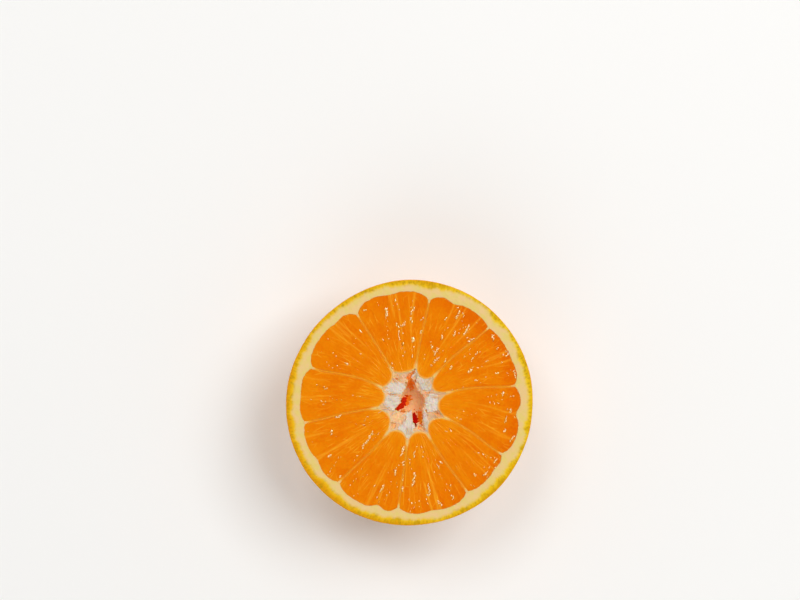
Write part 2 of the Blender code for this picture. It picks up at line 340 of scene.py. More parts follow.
class Finish:
    """A material with its Principled shader, and the nodes that colour it.

    coat is the share and the roughness of a clear layer over it. glow is how much of the light sinks in,
    how far each of its colours goes, and how deep.
    """

    def __init__(self, name, roughness, shine=0.5, coat=(0.0, 0.03), glow=(0.0, (1.0, 0.2, 0.1), 0.05)):
        self.material = bpy.data.materials.new(name)
        self.material.use_nodes = True
        self.nodes = self.material.node_tree.nodes
        self.links = self.material.node_tree.links
        self.shader = self.nodes["Principled BSDF"]
        words = ["Roughness", "Specular IOR Level", "Coat Weight", "Coat Roughness"]
        words += ["Subsurface Weight", "Subsurface Radius", "Subsurface Scale"]
        for word, value in zip(words, (roughness, shine, *coat, *glow)):
            self.shader.inputs[word].default_value = value

    def fact(self, word):
        """A number that the mesh carries at each of its points."""
        node = self.nodes.new("ShaderNodeAttribute")
        node.attribute_name = word
        return node.outputs["Fac"]

    def grain(self, size, detail=2.0):
        """Soft random grain of a size, from 0 to 1."""
        where = self.nodes.new("ShaderNodeTexCoord")
        node = self.nodes.new("ShaderNodeTexNoise")
        node.inputs["Scale"].default_value = 1.0 / size
        node.inputs["Detail"].default_value = detail
        self.links.new(where.outputs["Object"], node.inputs["Vector"])
        return node.outputs["Fac"]

    def graded(self, source, *stops):
        """Colours that follow a number, each stop with its number from 0 to 1 and its colour."""
        node = self.nodes.new("ShaderNodeValToRGB")
        ramp = node.color_ramp.elements
        while len(ramp) < len(stops):
            ramp.new(0.5)
        for element, (position, colour) in zip(ramp, stops):
            element.position = position
            element.color = (*colour, 1.0)
        self.links.new(source, node.inputs["Fac"])
        return node.outputs["Color"]

    def scaled(self, source, low, high, to_low=0.0, to_high=1.0):
        return ranged(self.material.node_tree, source, low, high, to_low, to_high)

    def mixed(self, share, first, second):
        """Two colours mixed. Each is a socket or a fixed colour."""
        node = self.nodes.new("ShaderNodeMix")
        node.data_type = "RGBA"
        self.links.new(share, node.inputs["Factor"])
        for socket, colour in zip(node.inputs[COLOUR_SOCKETS], (first, second)):
            if isinstance(colour, tuple):
                socket.default_value = (*colour, 1.0)
            else:
                self.links.new(colour, socket)
        return node.outputs[COLOUR_OUTPUT]

    def coloured(self, colour):
        self.links.new(colour, self.shader.inputs["Base Color"])

    def bumped(self, *layers):
        """Fine relief, each layer with its source and its height in metres."""
        normal = None
        for source, height in layers:
            node = self.nodes.new("ShaderNodeBump")
            node.inputs["Distance"].default_value = height
            self.links.new(source, node.inputs["Height"])
            if normal:
                self.links.new(normal, node.inputs["Normal"])
            normal = node.outputs["Normal"]
        self.links.new(normal, self.shader.inputs["Normal"])


def skin_finish():
    skin = Finish("orange_skin", 0.42, 0.22, coat=(0.12, 0.22), glow=(0.08, (1.0, 0.35, 0.05), 1.0 * MM))
    blotches = skin.scaled(skin.grain(9.0 * MM), 0.35, 0.65)
    golden = skin.mixed(blotches, (0.82, 0.30, 0.002), (0.87, 0.38, 0.003))
    # Darker in the pores: partly the oil glands' own colour, partly a painted shade in the pits.
    pored = skin.mixed(skin.fact("pore"), golden, (0.60, 0.185, 0.002))
    greenish = skin.mixed(skin.fact("by_stem"), pored, (0.56, 0.30, 0.012))
    skin.coloured(skin.mixed(skin.fact("brown"), greenish, (0.25, 0.10, 0.02)))
    skin.bumped((skin.grain(0.45 * MM), 0.05 * MM), (skin.grain(0.16 * MM), 0.015 * MM))
    return skin.material


def cut_rind_finish():
    """The cut rind's colour follows how deep under the skin it is."""
    rind = Finish("cut_rind", 0.55, 0.06, glow=(0.15, (1.0, 0.7, 0.3), 0.7 * MM))
    deep = rind.scaled(rind.fact("deep"), 0.0, RIND_SHOWN)
    golden = rind.graded(
        deep, (0.0, (0.75, 0.31, 0.002)), (0.08, (0.77, 0.35, 0.002)), (0.28, (0.83, 0.48, 0.012))
    )
    lemon = rind.graded(
        deep, (0.0, (0.74, 0.40, 0.002)), (0.08, (0.77, 0.45, 0.003)), (0.28, (0.84, 0.56, 0.016))
    )
    yellow = rind.mixed(rind.fact("lemon"), golden, lemon)
    dusky = rind.mixed(rind.scaled(rind.grain(1.4 * MM), 0.50, 0.66, 0.0, 0.6), yellow, (0.52, 0.29, 0.002))
    speckled = rind.mixed(rind.fact("gland"), dusky, (0.46, 0.25, 0.003))
    mottle = rind.scaled(rind.grain(2.6 * MM), 0.38, 0.62)
    pith = rind.mixed(mottle, (0.77, 0.59, 0.18), (0.81, 0.56, 0.24))
    rind.coloured(rind.mixed(rind.scaled(deep, 0.27, 0.46), speckled, pith))
    rind.bumped((rind.grain(0.3 * MM), 0.03 * MM))
    return rind.material


def skin_pores(points, random):
    """How much of a pore, and of a brown speck, is at each point. A pore is at a knot of the skin's net."""
    starts = np.arange(0, SKIN_CELLS, PORE_KNOTS)
    rows, columns = np.meshgrid(starts, starts, indexing="ij")
    rows, columns = (knots + random.integers(0, PORE_KNOTS, knots.shape) for knots in (rows, columns))
    pores = points[(rows * (SKIN_CELLS + 1) + columns).ravel()]
    depth = random.uniform(0.35, 1.0, len(pores))
    far, which = nearest(points, pores)
    dip = depth[which] * hump(far / PORE_RADIUS)
    specks = pores[random.choice(len(pores), SKIN_SPECKS, replace=False)]
    size = random.uniform(0.15, 0.42, SKIN_SPECKS) * MM
    far, which = nearest(points, specks)
    return dip, hump((far / size[which]) ** 2)


def cut_rings(angle):
    """The peel's rings, in over the cut, down the pith's edge and over the bowl's inside."""
    rim = FACE_RADIUS + waves(angle, OUTLINE_WAVES)
    edge = pith_edge(angle)
    start = place(rim - EDGE_ROUND, angle, HALF_HEIGHT)
    end = place(edge + 0.08 * MM, angle, HALF_HEIGHT, PULP_CENTRE)
    rings = [place(rim - EDGE_ROUND * 0.3, angle, HALF_HEIGHT - EDGE_ROUND * 0.3)]
    rings += [between(start, end, share) for share in evenly(CUT_RINGS)]
    rings += [place(edge, angle, HALF_HEIGHT - down, PULP_CENTRE) for down in PITH_EDGE]
    for share in np.linspace(1.0, 0.0, BOWL_RINGS, endpoint=False) ** 0.5:
        distance = share * (edge - 0.5 * MM)
        rings.append(place(distance, angle, bowl_height(distance) - BOWL_CLEAR, PULP_CENTRE))
    return np.array(rings)


def open_glands(points, deep, angle, random):
    """How much of each point of the cut is in an opened oil gland."""
    even = np.linspace(0.0, 360.0, OPEN_GLANDS, endpoint=False)
    turned = np.radians(even + random.uniform(-0.6, 0.6, OPEN_GLANDS))
    deep_of = GLAND_DEEP * random.uniform(0.55, 1.5, OPEN_GLANDS)
    strength = random.uniform(0.2, 1.0, OPEN_GLANDS)
    order = np.searchsorted(turned, np.radians(angle) % (2.0 * np.pi)) % OPEN_GLANDS
    gland = np.zeros(len(points))
    for beside in (-1, 0, 1):
        which = (order + beside) % OPEN_GLANDS
        apart = (np.radians(angle) - turned[which] + np.pi) % (2.0 * np.pi) - np.pi
        wide = apart * FACE_RADIUS / GLAND_WIDE
        long = (deep - deep_of[which]) / GLAND_LONG
        gland = np.maximum(gland, strength[which] * hump(np.hypot(wide, long)))
    return gland


def peel_piece():
    random = np.random.default_rng(11)
    outwards, angle = round_grid(SKIN_CELLS)
    knots = numbered(outwards)
    skin = skin_points(outwards, angle).reshape(-1, 3)
    edge = net_edge(knots)
    edge_angle = angle.ravel()[edge]
    rings = cut_rings(edge_angle)
    ring_knots = numbered(rings, len(skin))
    middle = np.array([[*PULP_CENTRE, PEEL_THICKNESS - BOWL_CLEAR]])
    cut = rings.reshape(-1, 3)
    cut_angle = np.tile(edge_angle, len(rings))

    # How deep each point is under the skin. The yellow layer's inner edge is streaked and wavy.
    rim = FACE_RADIUS + waves(cut_angle, OUTLINE_WAVES)
    deep = rim - np.hypot(cut[:, 0], cut[:, 1])
    streaks, wide, narrow = (
        np.tile(lumps(place(FACE_RADIUS, edge_angle, layer), size), len(rings))
        for layer, size in enumerate((STREAK_WIDTH, *BULGE_WIDTHS))
    )
    yellow = YELLOW_UNEVEN * (wide + 0.7 * narrow) + waves(cut_angle, YELLOW_WAVES)
    for at, far, spread in YELLOW_BULGES:
        yellow += far * hump(turned_by(cut_angle, at) / spread)
    gland = open_glands(cut, deep, cut_angle, random)
    sponge = rough(cut, PITH_SPONGE_SIZE, 0.6)
    on_face = held((cut[:, 2] - HALF_HEIGHT + 0.05 * MM) / (0.05 * MM))
    cut[:, 2] += on_face * (PITH_SPONGE * (sponge - 1.0) - GLAND_PIT * gland)

    dip, brown = skin_pores(skin, random)
    lump = lumps(skin, SKIN_LUMP_SIZE)
    from_stem = np.hypot(skin[:, 0], skin[:, 1])
    scar = 1.0 - eased((from_stem - SCAR_RADIUS) / (0.5 * MM))
    by_stem = (1.0 - eased((from_stem - DIMPLE_RADIUS * 0.5) / DIMPLE_RADIUS)) * 0.55
    flat_base = eased((skin[:, 2] - 0.2 * MM) / (1.5 * MM))
    scar_crumb = scar * lumps(skin, 0.6 * MM) * 0.25 * MM
    heights = flat_base * SKIN_LUMP * lump - PORE_DEPTH * dip + scar_crumb

    everything = np.concatenate((skin, cut, middle))
    rest = np.zeros(len(cut) + 1)
    facts = {
        # How dark each pore is coloured: partly the gland's colour, partly a painted shade in the pit
        "pore": np.append(dip * 0.55, rest),
        "brown": np.append(held(brown * 0.8 + scar), rest),
        "by_stem": np.append(by_stem, rest),
        "deep": np.concatenate((0.0 * dip, deep - yellow + YELLOW_STREAKS * streaks, [RIND_SHOWN])),
        "gland": np.concatenate((0.0 * dip, gland * 0.8, [0.0])),
        "lemon": np.concatenate((0.0 * dip, towards(cut_angle, LEMON_AND_SHADED_RIM_SIDE), [0.0])),
    }
    rows = np.concatenate((edge[None, :], ring_knots))
    skin_faces = [net_faces(knots), net_faces(closed_rows(rows[:2]))]
    cut_faces = [net_faces(closed_rows(rows[1:])), fan_faces(rows[-1], len(everything) - 1)]
    finishes = [skin_finish(), cut_rind_finish()]
    piece = piece_of("peel", everything, [skin_faces, cut_faces], finishes, facts)
    raise_points(piece, np.append(heights, rest))
    return piece


peel = peel_piece()
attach(peel, "root")
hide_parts("orange_half")

# Pulp
# Ten segments, each a wedge packed with long juice sacs that point in to the core. The knife opened the
# sacs: their thin walls stand up as pale lines, the flesh between is wet, and the segment's own skin shows
# as a lighter line round it.

INNER_CORNER_POWER = 2.6
PULP_COLUMNS = 140
PULP_ROWS = 170
PULP_LEVEL = 0.05 * MM
PULP_EDGE_FALL = 0.06 * MM
PULP_EDGE_ROUND = 0.38 * MM
SAC_WIDTH = 1.5 * MM
SAC_LENGTH = 8.0 * MM
# Where the sacs' first row is, how far apart the rows are, and how far off its place a sac may be, in sacs
FIRST_SACS = 6.0 * MM
ROW_SPACING = 0.72
SCATTER_ALONG = 0.42
SCATTER_ACROSS = 0.36
SAC_WALL = 0.11 * MM
SAC_SHOULDER = 0.4
SAC_WALL_RISE = 0.022 * MM
SAC_HOLLOW = 0.045 * MM
SAC_LEVELS = 0.035 * MM
SAC_TILT = 0.08
WIDTHS_MEASURED_AT = 23.0 * MM
FIBRE_RISE = 0.006 * MM
FIBRE_SIZE = 0.6 * MM
PATCH_SIZE = 2.4 * MM
# The lumps of the segments' edge, of how clear the sac walls are, and of the colour
UNEVEN_SIZES = (0.9 * MM, 3.0 * MM, 0.8 * MM)
SEAMS = 3
SEAM_WIDTH = 0.016
SEGMENT_SKIN = (0.16 * MM, 0.40 * MM)


def inner_end(segment, across):
    """How near the core a segment's pulp reaches. Its end is round."""
    nearer = MEMBRANES[(segment + (across >= 0.5)) % len(MEMBRANES), 3]
    corner = np.abs(2.0 * across - 1.0) ** INNER_CORNER_POWER
    return between(SEGMENTS[segment, 1], nearer, corner)


def membrane_angle(membrane, distance):
    """A membrane bows as it runs from the core out to the pith."""
    rim, tip, outer, inner = MEMBRANES[membrane % len(MEMBRANES)]
    full_turns = 360.0 * (membrane // len(MEMBRANES))
    return full_turns + between(tip, rim, eased((distance - inner) / (outer - inner)))


def pulp_angle(segment, across, distance):
    foot = np.degrees(MEMBRANE_WIDTH / 2.0 / distance)
    first = membrane_angle(segment, distance) + foot
    second = membrane_angle(segment + 1, distance) - foot
    return between(first, second, across)


def sides_of(segment):
    """The angles of the membranes on a segment's two sides, out at the skin."""
    return [membrane_angle(segment + side, FACE_RADIUS) for side in (0, 1)]


def sac_centres(segment, random):
    """The middles of a segment's juice sacs, across and along, in staggered rows that widen to the pith."""
    first, second = sides_of(segment)
    half_width = math.radians(second - first) / 2.0
    reach = half_width * WIDTHS_MEASURED_AT + SAC_WIDTH
    along = np.arange(FIRST_SACS, FACE_RADIUS, SAC_LENGTH * ROW_SPACING)
    across = np.arange(-reach, reach, SAC_WIDTH)
    rows, columns = np.meshgrid(along, across, indexing="ij")
    columns = columns + (np.arange(len(along)) % 2)[:, None] * SAC_WIDTH / 2.0
    rows = rows + random.uniform(-SCATTER_ALONG, SCATTER_ALONG, rows.shape) * SAC_LENGTH
    columns = columns + random.uniform(-SCATTER_ACROSS, SCATTER_ACROSS, rows.shape) * SAC_WIDTH
    return columns.ravel(), rows.ravel()


def sacs_of(across, along, segment, random):
    """How far points are from a sac wall, in metres and in sacs, and each one's sac and place in it."""
    middle_across, middle_along = sac_centres(segment, random)
    right = (across.reshape(-1, 1) - middle_across) / SAC_WIDTH
    out = (along.reshape(-1, 1) - middle_along) / SAC_LENGTH
    apart = np.hypot(right, out)
    nearest_two = np.argpartition(apart, 1, axis=1)[:, :2]
    two, two_right, two_out = (
        np.take_along_axis(values, nearest_two, axis=1) for values in (apart, right, out)
    )
    sac = np.take_along_axis(nearest_two, two.argmin(axis=1)[:, None], axis=1)
    gap = np.abs(two[:, 0] - two[:, 1])
    closing_across = np.diff(two_right / two, axis=1) / SAC_WIDTH
    closing = np.hypot(closing_across, np.diff(two_out / two, axis=1) / SAC_LENGTH)
    from_wall = gap / closing[:, 0]
    shape = across.shape
    in_sac = [np.take_along_axis(values, sac, axis=1).reshape(shape) for values in (right, out)]
    return from_wall.reshape(shape), gap.reshape(shape), sac.reshape(shape), in_sac, len(middle_across)


def seams_of(segment, across, inwards, random):
    """Pale folds of skin that run in from the rim, one from the dent and a few beside it."""
    starts = np.append(SEGMENTS[segment, 2], random.uniform(0.12, 0.88, SEAMS - 1))
    seam = np.zeros(across.shape)
    for start in starts:
        bow = random.uniform(-0.05, 0.05)
        reach = random.uniform(0.3, 0.8)
        line = start + bow * np.sin(3.0 * inwards)
        fade = 1.0 - eased((inwards - 0.6 * reach) / (0.4 * reach))
        seam = np.maximum(seam, fade * hump((across - line) / SEAM_WIDTH))
    return random.uniform(0.35, 0.6) * seam


def pulp_finish():
    pulp = Finish("wet_pulp", 0.40, 0.0, coat=(0.08, 0.09), glow=(0.22, (1.0, 0.30, 0.04), 1.2 * MM))
    # Low values are darker and redder: by the rim on one side this is partly a painted shade.
    tones = pulp.graded(
        pulp.fact("flesh_tone_and_rim_shade"),
        (0.0, (0.77, 0.145, 0.001)),
        (0.5, (0.82, 0.205, 0.0015)),
        (1.0, (0.86, 0.27, 0.003)),
    )
    walled = pulp.mixed(pulp.fact("sac_wall"), tones, (0.93, 0.385, 0.018))
    pulp.coloured(pulp.mixed(pulp.fact("segment_skin"), walled, (0.92, 0.52, 0.14)))
    pulp.bumped((pulp.grain(0.5 * MM), 0.02 * MM))
    return pulp.material


def pulp_net(segment, random):
    """The cut face of a segment as a net of points, with the facts that its colours follow."""
    shares = evenly(PULP_COLUMNS), evenly(PULP_ROWS)
    across, inwards = np.meshgrid(*shares, indexing="ij")
    whole = np.full(across.shape, segment)
    inner, outer = inner_end(whole, across), outer_end(whole, across)
    outer = outer + ragged(pulp_angle(segment, across, outer))
    distance = between(outer, inner, inwards)
    angle = pulp_angle(segment, across, distance)
    middle = pulp_angle(segment, 0.5, distance)
    sideways = np.radians(angle - middle) * WIDTHS_MEASURED_AT

    width = np.radians(pulp_angle(segment, 1.0, distance) - pulp_angle(segment, 0.0, distance))
    to_side = np.minimum(across, 1.0 - across) * width * distance
    to_edge = np.minimum(to_side, np.minimum(inwards, 1.0 - inwards) * (outer - inner))
    from_wall, gap, sac, in_sac, sacs = sacs_of(sideways, distance, segment, random)
    level, tone, lean_across, lean_along = random.uniform(-1.0, 1.0, (4, sacs))
    wall = hump(from_wall * distance / WIDTHS_MEASURED_AT / SAC_WALL)
    hollow = 1.0 - hump(gap / SAC_SHOULDER)
    leaning = lean_across[sac] * in_sac[0] * SAC_WIDTH + 0.4 * lean_along[sac] * in_sac[1] * SAC_LENGTH
    fibre = lumps(np.stack((sideways * 3.5, distance * 0.45, whole), axis=-1), FIBRE_SIZE)
    patch = lumps(np.stack((sideways, distance * 0.6, whole), axis=-1), PATCH_SIZE)
    uneven, shown, mottle = (
        lumps(place(distance, angle, layer), size) for layer, size in enumerate(UNEVEN_SIZES)
    )

    sac_relief = SAC_WALL_RISE * wall * (0.6 + 0.6 * patch) - SAC_HOLLOW * hollow * (0.5 + 0.5 * tone[sac])
    sac_relief += (SAC_LEVELS * level[sac] + SAC_TILT * leaning) * hollow + FIBRE_RISE * fibre
    fall = PULP_EDGE_FALL * np.exp(-((to_edge / (PULP_EDGE_ROUND * (1.0 + 0.45 * uneven))) ** 1.5))
    inside = eased(to_edge / (2.0 * PULP_EDGE_ROUND))
    height = HALF_HEIGHT - PULP_LEVEL - fall + sac_relief * inside
    points = place(distance, angle, np.minimum(height, HALF_HEIGHT), PULP_CENTRE)
    near_core = 1.0 - eased((distance - 9.0 * MM) / (14.0 * MM))
    near_rim = eased((distance - 28.0 * MM) / (5.5 * MM))
    seam = seams_of(segment, across, inwards, random)
    skin = between(0.15, 1.0, eased((inwards - 0.85) / 0.12))
    # The flesh's tone differs from sac to sac and in patches, and is lighter near the core. By the rim it is
    # darker and redder on one side, partly a painted shade where the flesh falls away to the pith, and
    # lighter on the other.
    flesh_tone_and_rim_shade = 0.5 + 0.11 * tone[sac] + 0.24 * patch + 0.22 * mottle
    flesh_tone_and_rim_shade += 0.3 * near_core + near_rim * between(0.25, -0.5, towards(angle, LEMON_AND_SHADED_RIM_SIDE))
    facts = {
        "flesh_tone_and_rim_shade": held(flesh_tone_and_rim_shade),
        "sac_wall": held(wall * np.clip(0.04 + 1.3 * shown + 0.05 * near_core, 0.0, 0.9) + seam),
        "segment_skin": skin * hump(to_edge / between(*SEGMENT_SKIN, skin)),
    }
    return points, facts


def pulp_piece(segment, finish, random):
    """A segment: its cut face, and the wedge under it down to the bowl of the peel."""
    face, facts = pulp_net(segment, random)
    knots = numbered(face)
    edge = net_edge(knots)
    rim = face.reshape(-1, 3)[edge]
    middle = rim.mean(axis=0)
    rows, points = [edge], [face.reshape(-1, 3)]
    for share, depth in ((1.0, 0.5), (1.0, 1.0), (0.66, 1.0), (0.33, 1.0)):
        ring = between(middle, rim, share)
        floor = bowl_height(np.hypot(ring[:, 0] - PULP_CENTRE[0], ring[:, 1] - PULP_CENTRE[1]) + 0.4 * MM)
        floor = np.minimum(floor, HALF_HEIGHT - PITH_WALL)
        ring[:, 2] = between(np.minimum(rim[:, 2], ring[:, 2]), floor, depth)
        rows.append(sum(map(len, points)) + np.arange(len(ring)))
        points.append(ring)
    points.append(np.array([[middle[0], middle[1], points[-1][:, 2].mean()]]))
    everything = np.concatenate(points)
    hidden = np.zeros(len(everything) - knots.size)
    facts = {word: np.append(values.ravel(), hidden) for word, values in facts.items()}
    under = [net_faces(closed_rows(np.array(rows))), fan_faces(rows[-1], len(everything) - 1)]
    faces = [net_faces(knots), *under]
    return piece_of(f"pulp_{segment + 1:02d}", everything, [faces], [finish], facts), face


pulp_random = np.random.default_rng(5)
wet_pulp = pulp_finish()
wet_faces = []
for segment in range(len(SEGMENTS)):
    pulp, wet_face = pulp_piece(segment, wet_pulp, pulp_random)
    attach(pulp, "root")
    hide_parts("orange_half")
    wet_faces.append(wet_face.reshape(-1, 3))

# Membranes
# Between two segments their thin skins lie together as one wall, which the knife cut through. It is pale
# orange where it is thin, and white where it thickens into the pith at its outer end and into the core at
# its inner end.

MEMBRANE_STEPS = 170
MEMBRANE_CREST = 0.05 * MM
MEMBRANE_THICKEN = 0.30 * MM
PALE_BY_PITH = 1.2 * MM
PALE_BY_CORE = 2.4 * MM
# The wall's section, as (share of its half width, millimetres under its crest), where 1 is down at its foot
MEMBRANE_PROFILE = (
    (-1.0, 1.0), (-1.0, 0.10), (-0.55, 0.0), (0.0, -0.02), (0.55, 0.0), (1.0, 0.10), (1.0, 1.0),
)


def membrane_finish():
    wall = Finish("membrane", 0.42, 0.08, coat=(0.1, 0.15), glow=(0.3, (1.0, 0.45, 0.12), 0.8 * MM))
    tinted = wall.graded(
        wall.fact("pale"), (0.0, (0.96, 0.35, 0.006)), (0.4, (0.94, 0.42, 0.03)), (1.0, (0.82, 0.57, 0.22))
    )
    thin = wall.scaled(wall.grain(1.2 * MM), 0.45, 0.7, 0.0, 0.5)
    wall.coloured(wall.mixed(thin, tinted, (0.86, 0.25, 0.005)))
    wall.bumped((wall.grain(0.35 * MM), 0.02 * MM))
    return wall.material


def membrane_piece(number, finish):
    """A wall from the core to the pith, with a round crest and straight sides down into the fruit."""
    _, _, outer, inner = MEMBRANES[number]
    distance = np.linspace(inner - 0.2 * MM, outer + 0.5 * MM, MEMBRANE_STEPS + 1)
    line = place(distance, membrane_angle(number, distance), 0.0, PULP_CENTRE)
    ahead = np.gradient(line, axis=0)
    sideways = np.cross((0.0, 0.0, 1.0), ahead)
    sideways /= np.linalg.norm(sideways, axis=1, keepdims=True)
    to_pith = hump((outer - distance) / PALE_BY_PITH)
    to_core = hump((distance - inner) / PALE_BY_CORE)
    thicker = to_pith + 0.4 * to_core
    half = (MEMBRANE_WIDTH / 2.0 + MEMBRANE_THICKEN * thicker) * (1.0 + 0.15 * lumps(line, 1.5 * MM))
    floor = np.minimum(bowl_height(distance), HALF_HEIGHT - PITH_WALL)
    crest = HALF_HEIGHT - MEMBRANE_CREST + 0.03 * MM * lumps(line, 1.0 * MM)
    rows = []
    for out, down in MEMBRANE_PROFILE:
        row = line + sideways * (out * half)[:, None]
        row[:, 2] = floor if down == 1.0 else crest - down * MM
        rows.append(row)
    points = np.array(rows)
    knots = numbered(points)
    underside = np.stack((knots[0, :-1], knots[0, 1:], knots[-1, 1:], knots[-1, :-1]), axis=-1)
    faces = [net_faces(knots), underside, knots.T[:1], knots.T[-1:]]
    facts = {"pale": np.tile(held(to_pith + to_core), len(rows))}
    return piece_of(f"membrane_{number + 1:02d}", points.reshape(-1, 3), [faces], [finish], facts)


thin_wall = membrane_finish()
for number in range(len(MEMBRANES)):
    membrane = membrane_piece(number, thin_wall)
    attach(membrane, "root")
    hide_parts("orange_half")

# Core
# The fruit's middle is a column of dry, cottony pith, cut across as a star whose points run out along the
# membranes. It tore open down its middle, and juice has soaked into the hollow's walls, which glow peach,
# orange and deep red.

CORE_DROP = 0.25 * MM
CORE_SAG_POWER = 3
HOLLOW_CENTRE = (0.8 * MM, 0.9 * MM)
HOLLOW_LIP = np.array((
    (0, 3.7), (24, 3.6), (45, 3.3), (60, 3.5), (73, 4.3), (86, 6.2), (93, 6.9), (106, 5.9), (115, 4.2),
    (139, 3.7), (160, 3.4), (190, 3.2), (199, 4.9), (209, 5.6), (231, 4.3), (250, 3.9), (266, 2.8),
    (272, 6.4), (281, 7.5), (289, 7.4), (299, 6.3), (310, 5.0), (318, 4.3), (335, 4.0), (360, 3.7),
)) * (1.0, MM)
HOLLOW_LIP_DROP = 0.9 * MM
HOLLOW_DEPTH = 6.5 * MM
# The hollow's walls, as (share of its depth, share of its width at the lip, share of the lip's lobes that
# is left)
HOLLOW_WALLS = np.array((
    (0.0, 1.0, 1.0), (0.18, 0.96, 0.95), (0.45, 0.90, 0.70), (0.75, 0.84, 0.45), (0.94, 0.60, 0.20),
))
CORE_COLUMNS = 64
STAR_RINGS = 34
WALL_RINGS = 36
FLOOR_RINGS = 14
COTTON = 0.22 * MM
COTTON_SIZE = 1.3 * MM
FRAYED_LIP = 0.50 * MM
TUFT_RISE = 0.65 * MM
HOLLOW_JUICE = 0.42
POINT_JUICE = 0.38
LOOSE_JUICE = 0.28
EDGE_JUICE = 0.34
SOAKED_DIP = 0.8 * MM

# Tufts of white cotton that stand up: the middle of each and its size both ways in millimetres, and its
# turn in degrees
TUFTS = np.array((
    (-4.3, 4.6, 3.0, 2.0, 12), (-5.3, 0.3, 2.8, 2.4, 0), (4.3, 6.7, 1.8, 3.6, 33), (6.8, 0.2, 2.4, 3.1, 0),
    (1.2, 8.6, 0.35, 0.9, -50), (2.6, 9.8, 0.8, 1.6, 5), (-0.2, -5.0, 1.3, 3.5, -14),
    (-1.0, -7.6, 2.8, 2.0, 8), (5.0, -5.6, 0.8, 3.8, 9), (-0.6, -9.3, 1.0, 1.6, 0),
)) * (MM, MM, MM, MM, 1.0)

# Where juice has soaked in: the same for each stain, and how deep its colour is, from 0 for white to 1 for
# deep red
STAINS = np.array((
    (0.3, 5.8, 1.3, 2.4, 10, 0.63), (0.3, 8.7, 0.6, 2.1, -38, 0.56), (-0.9, 0.8, 1.4, 2.0, -30, 0.64),
    (-1.8, 0.5, 1.0, 2.0, -28, 0.88), (-2.9, -1.2, 1.8, 1.0, 25, 0.93), (-2.0, -2.4, 1.3, 0.6, 10, 0.58),
    (3.2, -4.4, 0.9, 2.2, 3, 0.66), (1.6, -4.8, 1.0, 2.0, 8, 1.0), (-3.7, -4.1, 2.2, 1.6, -25, 0.38),
    (-5.0, -6.6, 0.9, 1.0, 15, 0.50), (3.3, -7.8, 1.4, 0.7, -30, 0.50), (5.2, -3.2, 0.3, 1.5, 8, 0.55),
    (5.4, 3.0, 1.2, 0.8, 25, 0.48), (-4.3, 8.2, 1.0, 2.0, 22, 0.47), (-4.5, 7.1, 0.7, 0.5, 0, 0.60),
    (-8.6, 4.6, 1.6, 0.6, -20, 0.50), (8.7, -3.5, 1.4, 0.9, -40, 0.52), (9.4, 2.5, 1.8, 0.4, 15, 0.38),
    (6.3, 6.8, 0.9, 1.5, -25, 0.38), (2.5, 7.9, 0.5, 0.7, 20, 0.44), (-0.6, -10.6, 0.35, 0.6, 0, 0.72),
)) * (MM, MM, MM, MM, 1.0, 1.0)


def lip_distance(angle):
    """How far the hollow's lip is from the hollow's middle, at an angle in degrees."""
    turned = angle % 360.0
    after = np.clip(np.searchsorted(HOLLOW_LIP[:, 0], turned, side="right"), 1, len(HOLLOW_LIP) - 1)
    start, near = HOLLOW_LIP[after - 1].T
    end, far = HOLLOW_LIP[after].T
    return between(near, far, eased((turned - start) / (end - start)))


def hollow_ring(depth, width, lobes, angle):
    """A ring of the hollow's wall. The torn lip at its top is frayed."""
    round_width = HOLLOW_LIP[:-1, 1].mean()
    where = place(HOLLOW_DEPTH, angle, depth * HOLLOW_DEPTH)
    frayed = FRAYED_LIP * (1.0 - depth) ** 3 * rough(where, COTTON_SIZE)
    distance = width * between(round_width, lip_distance(angle), lobes) + frayed
    return place(distance, angle, HALF_HEIGHT - between(HOLLOW_LIP_DROP, HOLLOW_DEPTH, depth), HOLLOW_CENTRE)


def core_finish():
    core = Finish("cottony_core", 0.62, 0.08, glow=(0.5, (1.0, 0.40, 0.15), 1.5 * MM))
    soaked = core.graded(
        core.fact("juice"),
        (0.0, (0.75, 0.65, 0.55)),
        (0.18, (0.79, 0.60, 0.43)),
        (0.30, (0.87, 0.52, 0.28)),
        (0.44, (0.97, 0.60, 0.28)),
        (0.64, (1.0, 0.25, 0.010)),
        (0.84, (0.78, 0.04, 0.002)),
        (1.0, (0.48, 0.001, 0.0)),
    )
    crumb = core.scaled(core.grain(0.45 * MM), 0.64, 0.74, 0.0, 0.55)
    crumbs = core.mixed(crumb, soaked, (0.42, 0.16, 0.05))
    core.coloured(core.mixed(core.fact("clean"), crumbs, soaked))
    core.bumped((core.grain(0.3 * MM, 4.0), 0.045 * MM))
    return core.material


def from_middle(points, along_x, along_y, wide, high, turn):
    """How far points are from the middle of a turned oval, where 1 is its edge."""
    away_x, away_y = points[:, 0] - along_x, points[:, 1] - along_y
    turned = math.radians(turn)
    right = (away_x * math.cos(turned) + away_y * math.sin(turned)) / wide
    up = (away_y * math.cos(turned) - away_x * math.sin(turned)) / high
    return np.hypot(right, up)


def tufted(points, frayed):
    """How much of a tuft stands at each point, from 0 between the tufts to 1 at the middle of one."""
    tuft = np.zeros(len(points))
    for oval in TUFTS:
        away = from_middle(points, *oval) + 0.25 * frayed
        tuft = np.maximum(tuft, np.sqrt(held(1.0 - away**2)))
    return eased(2.0 * tuft)


